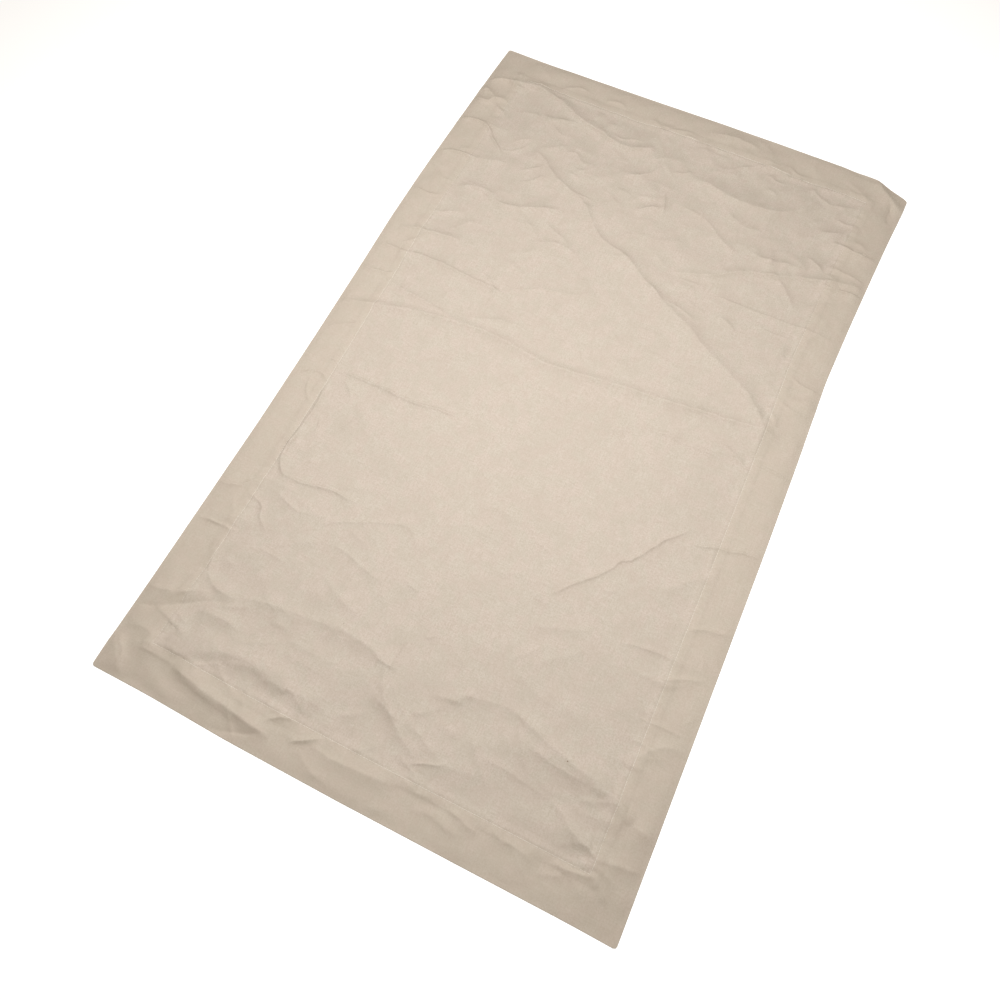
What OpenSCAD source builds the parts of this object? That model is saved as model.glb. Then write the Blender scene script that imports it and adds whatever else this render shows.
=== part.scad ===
// Table runner: one plain-weave cloth with a wide hem, mitred corners and a line of lockstitch.
// +Z is up, +Y runs along the length, and the origin is the middle of the face that lies on the table.
// Each side of the hem is drawn once in a local frame: X along the side, Y inwards from the outer
// fold, Z up. on_side() then turns that frame to the side where it belongs.

/* [Runner] */
// Width from fold to fold, across the short way
runner_w = 500; // [350:10:700]
// Length from fold to fold, along the long way
runner_l = 840; // [600:10:1800]

/* [Cloth] */
// Thickness of one layer of the washed linen
cloth_t = 0.5; // [0.4:0.05:0.8]
// Width of the slope where the face steps down from the hem to the table
step_w = 6; // [4:1:12]

/* [Hem] */
// Distance from the outer fold to the line of stitches
hem_w = 40; // [28:1:70]
// Distance from the stitches to the inner fold of the hem
hem_margin = 2; // [1.5:0.5:4]
// Width of the raw edge that is turned in inside the hem
turn_in_w = 10; // [8:1:15]
// Width of each seam allowance pressed open inside a mitred corner
allowance_w = 6; // [4:1:10]

/* [Stitching] */
// Stitch length of the hem
stitch_pitch = 2.8; // [2:0.1:4]
// Gap between two stitches, where the thread dives into the cloth
stitch_gap = 0.5; // [0.3:0.1:0.8]
// Thickness of the sewing thread
thread_d = 0.25; // [0.2:0.01:0.3]

/* [Hidden] */

// The sides and the corners, numbered anticlockwise from above
near = 0;
right = 1;
far = 2;
left = 3;
near_left = 0;
near_right = 1;
far_right = 2;
far_left = 3;

linen = [0.85, 0.80, 0.73];
linen_under = [0.80, 0.75, 0.67];
thread_white = [0.93, 0.91, 0.87];

// The hem is three layers: its own layer below, the turned-in edge, and the face on top
hem_floor = 0;
turn_floor = cloth_t;
face_floor = 2 * cloth_t;
face_top = 3 * cloth_t;

// The outer fold is a half ring round the middle of the stack
fold_r = face_top / 2;
fold_inner_r = fold_r - cloth_t;

hem_inner = hem_w + hem_margin; // from the outer fold to the inner fold
turn_in_edge = hem_inner - turn_in_w; // where the raw edge ends inside the hem
step_end = hem_inner + step_w; // where the face reaches the table

// The thread is drawn down into a groove that it presses in the cloth
groove_w = thread_d + 0.1;
groove_depth = thread_d;
thread_flat = thread_d * cos(30); // height of a thread of six flat sides
allowance_slit = groove_w; // gap between the two allowances, which holds the mitre's thread

function side_length(side) = side % 2 == 0 ? runner_w : runner_l;
function side_distance(side) = (side % 2 == 0 ? runner_l : runner_w) / 2;

// Turns a side's local frame to its place
module on_side(side) {
  rotate([0, 0, 90 * side])
    translate([0, -side_distance(side), 0])
      children();
}

// Draws a profile of distance inwards and height along a whole side, with its ends mitred
module mitred(side, depth) {
  half = side_length(side) / 2;
  intersection() {
    rotate([90, 0, 90])
      linear_extrude(2 * half, center = true)
        children();
    translate([0, 0, -1])
      linear_extrude(face_top + 2)
        polygon([[-half, 0], [half, 0], [half - depth, depth], [-half + depth, depth]]);
  }
}

// The face over one side of the hem, its groove and its step down to the table
module face_border(side) {
  on_side(side)
    mitred(side, step_end)
      difference() {
        polygon([
          [fold_r, face_floor],
          [fold_r, face_top],
          [hem_inner, face_top],
          [step_end, cloth_t],
          [step_end, 0],
          [hem_inner, face_floor],
        ]);
        translate([hem_w - groove_w / 2, face_top - groove_depth])
          square([groove_w, cloth_t]);
      }
}

// The top layer of cloth, in one piece from fold to fold
module face_cloth() {
  color(linen)
    union() {
      translate([-runner_w / 2 + step_end, -runner_l / 2 + step_end, 0])
        cube([runner_w - 2 * step_end, runner_l - 2 * step_end, cloth_t]);
      for (side = [near:left])
        face_border(side);
    }
}

// The layer that is folded under, from the outer fold to the inner one
module hem_layer(side) {
  color(linen_under)
    on_side(side)
      mitred(side, hem_inner)
        union() {
          intersection() {
            difference() {
              translate([fold_r, fold_r])
                circle(r = fold_r, $fn = 48);
              translate([fold_r, fold_r])
                circle(r = fold_inner_r, $fn = 48);
            }
            square([fold_r, face_top]);
          }
          difference() {
            translate([fold_r, hem_floor])
              square([hem_inner - cloth_t - fold_r, cloth_t]);
            translate([hem_w - groove_w / 2, groove_depth - cloth_t])
              square([groove_w, cloth_t]);
          }
        }
}

// The raw edge turned in on top of the hem layer, with the inner fold that joins them
module turn_in(side) {
  color(linen_under)
    on_side(side)
      mitred(side, hem_inner)
        union() {
          intersection() {
            translate([hem_inner - cloth_t, turn_floor])
              circle(r = cloth_t, $fn = 48);
            translate([hem_inner - cloth_t, 0])
              square([cloth_t, face_floor]);
          }
          translate([turn_in_edge, turn_floor])
            square([turn_in_w - cloth_t, cloth_t]);
        }
}

// Puts a shape at a corner, with X and Y running inwards along the two sides
module at_corner(corner) {
  x_sign = corner == near_left || corner == far_left ? 1 : -1;
  y_sign = corner == near_left || corner == near_right ? 1 : -1;
  translate([-x_sign * runner_w / 2, -y_sign * runner_l / 2, 0])
    mirror([x_sign < 0 ? 1 : 0, 0, 0])
      mirror([0, y_sign < 0 ? 1 : 0, 0])
        children();
}

// The two seam allowances of a mitre, pressed open between the layers
module mitre_allowance(corner) {
  color(linen_under)
    at_corner(corner)
      translate([0, 0, turn_floor])
        linear_extrude(cloth_t)
          difference() {
            intersection() {
              translate([fold_r, fold_r])
                square(turn_in_edge - fold_r);
              rotate(45)
                translate([0, -allowance_w])
                  square([2 * hem_inner, 2 * allowance_w]);
            }
            rotate(45)
              translate([0, -allowance_slit / 2])
                square([2 * hem_inner, allowance_slit]);
          }
}

// A row of stitches along X from the origin, centred on a length, with their flats on z = 0
module stitches(length) {
  count = floor(length / stitch_pitch);
  stitch = stitch_pitch - stitch_gap;
  for (i = [0:count - 1])
    translate([(i - (count - 1) / 2) * stitch_pitch - stitch / 2, 0, thread_flat / 2])
      rotate([0, 90, 0])
        rotate([0, 0, 30])
          cylinder(h = stitch, d = thread_d, $fn = 6);
}

// The seam inside a mitre, in the slit between its two allowances
module mitre_thread(corner) {
  seam = sqrt(2) * (turn_in_edge - 2 * fold_r);
  color(thread_white)
    at_corner(corner)
      rotate([0, 0, 45])
        translate([sqrt(2) * fold_r + seam / 2 + fold_r, 0, turn_floor])
          stitches(seam - 2 * fold_r);
}

// The upper thread of the hem's lockstitch, in the groove on the face
module needle_thread(side) {
  color(thread_white)
    on_side(side)
      translate([0, hem_w, face_top - groove_depth])
        stitches(side_length(side) - 2 * hem_w);
}

// The lower thread of the hem's lockstitch, in the groove under the hem
module bobbin_thread(side) {
  color(thread_white)
    on_side(side)
      translate([0, hem_w, groove_depth - thread_flat])
        stitches(side_length(side) - 2 * hem_w);
}

face_cloth();
hem_layer(near);  // hem_layer_near
hem_layer(right);  // hem_layer_right
hem_layer(far);  // hem_layer_far
hem_layer(left);  // hem_layer_left
turn_in(near);  // turn_in_near
turn_in(right);  // turn_in_right
turn_in(far);  // turn_in_far
turn_in(left);  // turn_in_left
mitre_allowance(near_left);  // mitre_allowance_near_left
mitre_allowance(near_right);  // mitre_allowance_near_right
mitre_allowance(far_right);  // mitre_allowance_far_right
mitre_allowance(far_left);  // mitre_allowance_far_left
mitre_thread(near_left);  // mitre_thread_near_left
mitre_thread(near_right);  // mitre_thread_near_right
mitre_thread(far_right);  // mitre_thread_far_right
mitre_thread(far_left);  // mitre_thread_far_left
needle_thread(near);  // needle_thread_near
needle_thread(right);  // needle_thread_right
needle_thread(far);  // needle_thread_far
needle_thread(left);  // needle_thread_left
bobbin_thread(near);  // bobbin_thread_near
bobbin_thread(right);  // bobbin_thread_right
bobbin_thread(far);  // bobbin_thread_far
bobbin_thread(left);  // bobbin_thread_left
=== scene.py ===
"""A table runner of washed linen, laid on a table: one cloth with a wide hem and a line of lockstitch.

Every piece is first made flat, in pattern coordinates: p across the width, q along the length and z above
the table, all in metres. lay() then carries it onto the wrinkled cloth, so that the layers keep together.
"""
import math

import bpy
import numpy as np
from mathutils import Matrix, Vector
from mathutils.geometry import delaunay_2d_cdt


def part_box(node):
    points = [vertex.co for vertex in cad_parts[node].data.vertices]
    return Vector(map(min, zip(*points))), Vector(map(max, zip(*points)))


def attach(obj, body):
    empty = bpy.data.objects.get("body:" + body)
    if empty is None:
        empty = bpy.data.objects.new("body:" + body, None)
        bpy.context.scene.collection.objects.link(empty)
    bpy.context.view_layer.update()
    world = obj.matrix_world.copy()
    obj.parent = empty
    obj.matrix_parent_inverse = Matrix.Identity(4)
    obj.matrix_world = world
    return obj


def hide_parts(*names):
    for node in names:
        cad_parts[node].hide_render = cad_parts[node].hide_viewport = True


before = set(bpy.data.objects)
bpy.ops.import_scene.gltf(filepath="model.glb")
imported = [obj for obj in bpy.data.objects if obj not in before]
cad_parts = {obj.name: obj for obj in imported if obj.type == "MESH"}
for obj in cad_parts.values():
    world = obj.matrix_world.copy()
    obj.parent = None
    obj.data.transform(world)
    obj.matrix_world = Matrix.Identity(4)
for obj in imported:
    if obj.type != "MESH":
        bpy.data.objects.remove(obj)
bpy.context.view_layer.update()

MM = 0.001
rng = np.random.default_rng(7)


# Driving dimensions, from the frame

HALF_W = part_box("hem_layer_near")[1].x
HALF_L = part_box("hem_layer_right")[1].y
low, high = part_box("mitre_allowance_near_left")
CLOTH = high.z - low.z
low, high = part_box("needle_thread_near")
STITCH_LINE = HALF_L + (low.y + high.y) / 2
low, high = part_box("turn_in_near")
HEM_INNER = HALF_L + high.y
TURN_EDGE = HALF_L + low.y
STEP_WIDTH = 6 * MM  # where the face comes down from the hem to the table
FOLD_R = 1.1 * CLOTH  # outer radius of the pressed fold round the edge
STITCH_PITCH = 2.8 * MM
STITCH_GAP = 0.12 * MM
STITCH_TILT = 0.03 * MM  # how far a stitch's ends stray to the sides
THREAD_R = 0.18 * MM
BOBBIN_LEVEL = 0.32 * MM  # the bobbin thread's height over the table
CORNER_R = 3 * MM  # the folded corners are blunt
ALLOWANCE_W = 6 * MM
RIM_STEP = 2.5 * MM  # mesh spacing along the outer edge

SIDES = ("near", "right", "far", "left")
CORNERS = ("near_left", "near_right", "far_right", "far_left")


# Camera and light

AIM = Vector((0.0047, -0.1198, 0))
CAMERA_AZIMUTH = 26.22
CAMERA_ELEVATION = 68.76
CAMERA_ROLL = -0.31
CAMERA_DISTANCE = 0.7448
CAMERA_LENS = 28.01
SENSOR_WIDTH = 36

KEY_PLACE = (-0.03, 0.0, 0.92)
KEY_SIZE = 0.34
KEY_POWER = 9.8
KEY_COLOUR = (0.994, 0.996, 1.012)
FILL_COLOUR = (1, 0.82, 0.56, 1)
FILL_STRENGTH = 0.18

FLOOR_HALF = 4
FLOOR_DROP = 0.05 * MM  # the floor lies this far under the cloth, so that they don't share a plane
FLOOR_WHITE = (0.93, 0.93, 0.93, 1)
FLOOR_GLOW = 0.5


def make_camera():
    """The camera looks steeply down from above the near end, right of the middle."""
    azimuth, elevation = math.radians(CAMERA_AZIMUTH), math.radians(CAMERA_ELEVATION)
    flat = Vector((-math.sin(azimuth), math.cos(azimuth), 0))
    forward = flat * math.cos(elevation) - Vector((0, 0, math.sin(elevation)))
    turn = forward.to_track_quat("-Z", "Y").to_matrix().to_4x4()
    data = bpy.data.cameras.new("camera")
    data.lens = CAMERA_LENS
    data.sensor_width = SENSOR_WIDTH
    data.clip_start = 0.01
    camera = bpy.data.objects.new("camera", data)
    camera.matrix_world = (
        Matrix.Translation(AIM - forward * CAMERA_DISTANCE)
        @ turn
        @ Matrix.Rotation(math.radians(CAMERA_ROLL), 4, "Z")
    )
    bpy.context.collection.objects.link(camera)
    bpy.context.scene.camera = camera


def make_lights():
    """One softbox over the middle of the runner, and a warm fill from all round."""
    data = bpy.data.lights.new("key_softbox", "AREA")
    data.shape = "SQUARE"
    data.size = KEY_SIZE
    data.energy = KEY_POWER
    data.color = KEY_COLOUR
    light = bpy.data.objects.new("key_softbox", data)
    turn = Vector((0, 0, -1)).to_track_quat("-Z", "Y").to_matrix().to_4x4()
    light.matrix_world = Matrix.Translation(KEY_PLACE) @ turn
    bpy.context.collection.objects.link(light)
    world = bpy.data.worlds.new("studio")
    world.use_nodes = True
    background = world.node_tree.nodes["Background"]
    background.inputs["Color"].default_value = FILL_COLOUR
    background.inputs["Strength"].default_value = FILL_STRENGTH
    bpy.context.scene.world = world
    bpy.context.scene.view_settings.view_transform = "Standard"


def make_floor():
    """A plain pale floor, which the runner lies on."""
    corners = [(x * FLOOR_HALF, y * FLOOR_HALF, 0) for x, y in ((-1, -1), (1, -1), (1, 1), (-1, 1))]
    mesh = bpy.data.meshes.new("floor")
    mesh.from_pydata(corners, [], [(0, 1, 2, 3)])
    floor = bpy.data.objects.new("floor", mesh)
    floor.location.z = -FLOOR_DROP
    bpy.context.collection.objects.link(floor)
    g = Graph("floor_white")
    g.plain({
        "Base Color": FLOOR_WHITE,
        "Roughness": 0.9,
        "Emission Color": (1, 1, 1, 1),
        "Emission Strength": FLOOR_GLOW,
    })
    mesh.materials.append(g.material)


# Materials

class Graph:
    """A Principled material, with short names for the nodes that it uses."""

    def __init__(self, name):
        self.material = bpy.data.materials.new(name)
        self.material.use_nodes = True
        self.nodes = self.material.node_tree.nodes
        self.links = self.material.node_tree.links
        self.shader = self.nodes["Principled BSDF"]

    def plain(self, values):
        """Sets the shader's inputs that are the same all over the surface."""
        for name, value in values.items():
            self.shader.inputs[name].default_value = value

    def node(self, kind, inputs, **settings):
        """A node with its inputs set or linked: in order, or by their names in a dictionary."""
        node = self.nodes.new("ShaderNode" + kind)
        for name, value in settings.items():
            setattr(node, name, value)
        named = inputs.items() if isinstance(inputs, dict) else enumerate(inputs)
        for key, value in named:
            self.put(node.inputs[key], value)
        return node

    def put(self, socket, value):
        """Links a socket to this one, or sets its value."""
        if isinstance(value, bpy.types.NodeSocket):
            self.links.new(value, socket)
        else:
            socket.default_value = value

    def math(self, operation, a, b=0.0):
        return self.node("Math", (a, b), operation=operation).outputs[0]

    def plus(self, a, b):
        return self.math("ADD", a, b)

    def times(self, a, b):
        return self.math("MULTIPLY", a, b)

    def combine(self, x, y, z=0.0):
        return self.node("CombineXYZ", (x, y, z)).outputs[0]

    def noise(self, vector, scale=1.0, detail=2.0, roughness=0.5):
        """Noise from 0 to 1, about 0.5."""
        inputs = {"Vector": vector, "Scale": scale, "Detail": detail, "Roughness": roughness}
        return self.node("TexNoise", inputs).outputs["Fac"]

    def smooth(self, value, low, high, out_low=0.0, out_high=1.0):
        """A smooth step from out_low, at low, to out_high, at high."""
        inputs = (value, low, high, out_low, out_high)
        return self.node("MapRange", inputs, interpolation_type="SMOOTHSTEP").outputs[0]

    def mix(self, factor, a, b):
        inputs = {"Factor": factor, "A": a, "B": b}
        return self.node("Mix", inputs, data_type="RGBA").outputs["Result"]

    def pattern(self):
        """The cloth's own coordinates in millimetres, across and along."""
        place = self.node("UVMap", (), uv_map="pattern").outputs["UV"]
        split = self.node("SeparateXYZ", (place,))
        return [self.times(output, 1000) for output in split.outputs[:2]]

    def bump(self, height, strength, distance):
        """Roughens the surface by a height."""
        node = self.node("Bump", {"Strength": strength, "Distance": distance, "Height": height})
        self.links.new(node.outputs["Normal"], self.shader.inputs["Normal"])


YARN = 0.62  # millimetres from one yarn to the next
LINEN = (0.575, 0.505, 0.430, 1)
LINEN_ROSY = (0.590, 0.500, 0.430, 1)
LINEN_GREEN = (0.555, 0.508, 0.422, 1)
LINEN_DEEP = (0.475, 0.405, 0.325, 1)
# the colour of the warm painted shade over the hem
LINEN_HEM_SHADE = (0.560, 0.485, 0.390, 1)
LINEN_PALE = (0.675, 0.600, 0.530, 1)
ACROSS_YARN = 1.1  # how quickly the yarns' noise changes across a yarn, per millimetre
ALONG_YARN = 0.07  # and along it
UNDER_SHADE = 0.12  # how much of the warm, deep painted shade shows over the hem
HEM_SHADE = 0.3  # how much of the warm tone shows over the hem
FLECK = (0.20, 0.13, 0.08, 1)
FLECK_SCALE = 0.045
FLECK_RARITY = 0.86
KNOT_PLACE = (159.0, -309.0)  # a dark knot in the yarn, in millimetres
KNOT_RADII = (0.35, 0.75)  # where the knot begins to fade and where it ends, in millimetres
# the painted shade in the grooves between the turns of the thread's twist
THREAD_GROOVE_SHADE = (0.74, 0.69, 0.61, 1)
THREAD_PALE = (0.86, 0.82, 0.75, 1)
TWIST = 0.45  # millimetres from one turn of the thread's twist to the next


def yarns(g, across, along):
    """Thick and thin places along the yarns of both directions, from 0 to 1."""
    warp = g.noise(g.combine(g.times(across, ACROSS_YARN), g.times(along, ALONG_YARN)), detail=3.0)
    weft = g.noise(g.combine(g.times(across, ALONG_YARN), g.times(along, ACROSS_YARN), 7.0), detail=3.0)
    return g.plus(g.times(warp, 0.5), g.times(weft, 0.5))


# Painted shade over the hem, where its extra layers let less light through from the table than the single
# face does
def painted_hem_shade(g, across, along):
    """1 over the hem, falling to 0 between the stitches and the inner fold, times HEM_SHADE."""
    from_side = g.math("SUBTRACT", HALF_W / MM, g.math("ABSOLUTE", across))
    from_end = g.math("SUBTRACT", HALF_L / MM, g.math("ABSOLUTE", along))
    from_edge = g.math("MINIMUM", from_side, from_end)
    return g.smooth(from_edge, HEM_INNER / MM, STITCH_LINE / MM, 0.0, HEM_SHADE)


def flecks(g, across, along):
    """1 in the few small dark specks, and 0 elsewhere."""
    place = g.combine(across, g.times(along, 0.8))
    specks = g.node("TexVoronoi", {"Vector": place, "Scale": FLECK_SCALE})
    rare = g.node("SeparateColor", (specks.outputs["Color"],))
    spot = g.smooth(specks.outputs["Distance"], 0.010, 0.022, 1.0, 0.0)
    return g.times(spot, g.math("GREATER_THAN", rare.outputs[0], FLECK_RARITY))


def dark_knot(g, across, along):
    """A knot in one yarn, at KNOT_PLACE."""
    x = g.math("SUBTRACT", across, KNOT_PLACE[0])
    y = g.math("SUBTRACT", along, KNOT_PLACE[1])
    away = g.math("SQRT", g.plus(g.times(x, x), g.times(y, y)))
    return g.smooth(away, *KNOT_RADII, 0.9, 0.0)


def weave(g, across, along):
    """The plain weave's ups and downs."""
    over_x = g.math("SINE", g.times(across, math.pi / YARN))
    over_y = g.math("SINE", g.times(along, math.pi / YARN))
    return g.math("ABSOLUTE", g.times(over_x, over_y))


def linen_material(name, layers):
    """Plain-weave linen: slubbed yarns, a soft tone that drifts, and a few flecks.

    The face has one layer, with a warm painted shade over the hem. The layers under it have a deeper painted
    shade throughout.
    """
    g = Graph(name)
    across, along = g.pattern()
    slubs = yarns(g, across, along)
    grain = g.noise(g.combine(across, along, 3.0), scale=0.75, detail=3.0, roughness=0.6)
    drift = g.noise(g.combine(across, along, 11.0), scale=0.05, detail=4.0, roughness=0.6)
    hue = g.noise(g.combine(across, along, 31.0), scale=0.06, detail=3.0, roughness=0.6)
    tone = g.plus(g.times(slubs, 0.45), g.times(grain, 0.55))
    cloth = g.mix(g.smooth(tone, 0.3, 0.7), LINEN_DEEP, LINEN_PALE)
    cloth = g.mix(0.35, cloth, g.mix(g.smooth(hue, 0.42, 0.58), LINEN_ROSY, LINEN_GREEN))
    cloth = g.mix(g.smooth(drift, 0.4, 0.62, 0.0, 0.3), cloth, g.mix(0.5, LINEN, LINEN_DEEP))
    if layers > 1:
        # deeper painted shade on the layers under the face, which shows on their outer folds
        cloth = g.mix(UNDER_SHADE, cloth, LINEN_DEEP)
    else:
        # warm painted shade over the hem
        cloth = g.mix(painted_hem_shade(g, across, along), cloth, LINEN_HEM_SHADE)
    cloth = g.mix(g.times(flecks(g, across, along), 0.55), cloth, FLECK)
    cloth = g.mix(dark_knot(g, across, along), cloth, FLECK)
    g.put(g.shader.inputs["Base Color"], cloth)

    ups = g.times(weave(g, across, along), 0.35)
    g.bump(g.plus(ups, g.times(slubs, 1.6)), 0.35, 0.15 * MM)
    g.put(g.shader.inputs["Roughness"], g.plus(0.82, g.times(grain, 0.12)))
    g.plain({
        "Specular IOR Level": 0.25,
        "Sheen Weight": 0.06,
        "Sheen Roughness": 0.5,
        "Sheen Tint": (1, 0.96, 0.9, 1),
    })
    return g.material


def thread_material():
    """Pale twisted sewing thread, with painted shade in the grooves of its twist."""
    g = Graph("sewing_thread")
    across, along = g.pattern()
    ply = g.math("SINE", g.times(g.plus(across, along), 2 * math.pi / TWIST))
    # deeper painted shade where the twist's bump is low, paler where it is high
    g.put(g.shader.inputs["Base Color"], g.mix(g.smooth(ply, -1.0, 1.0), THREAD_GROOVE_SHADE, THREAD_PALE))
    g.bump(ply, 0.5, 0.04 * MM)
    g.plain({"Roughness": 0.6, "Sheen Weight": 0.2})
    return g.material


# The wrinkles
#
# Each crease is its strength, from which Crease works out the rise (a negative one is a valley), the width of
# its flank on the far side and on the near side, and then the points of its crest from left to right, as the
# camera sees them on the cloth. Widths and points are in millimetres from the middle of the runner.

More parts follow.
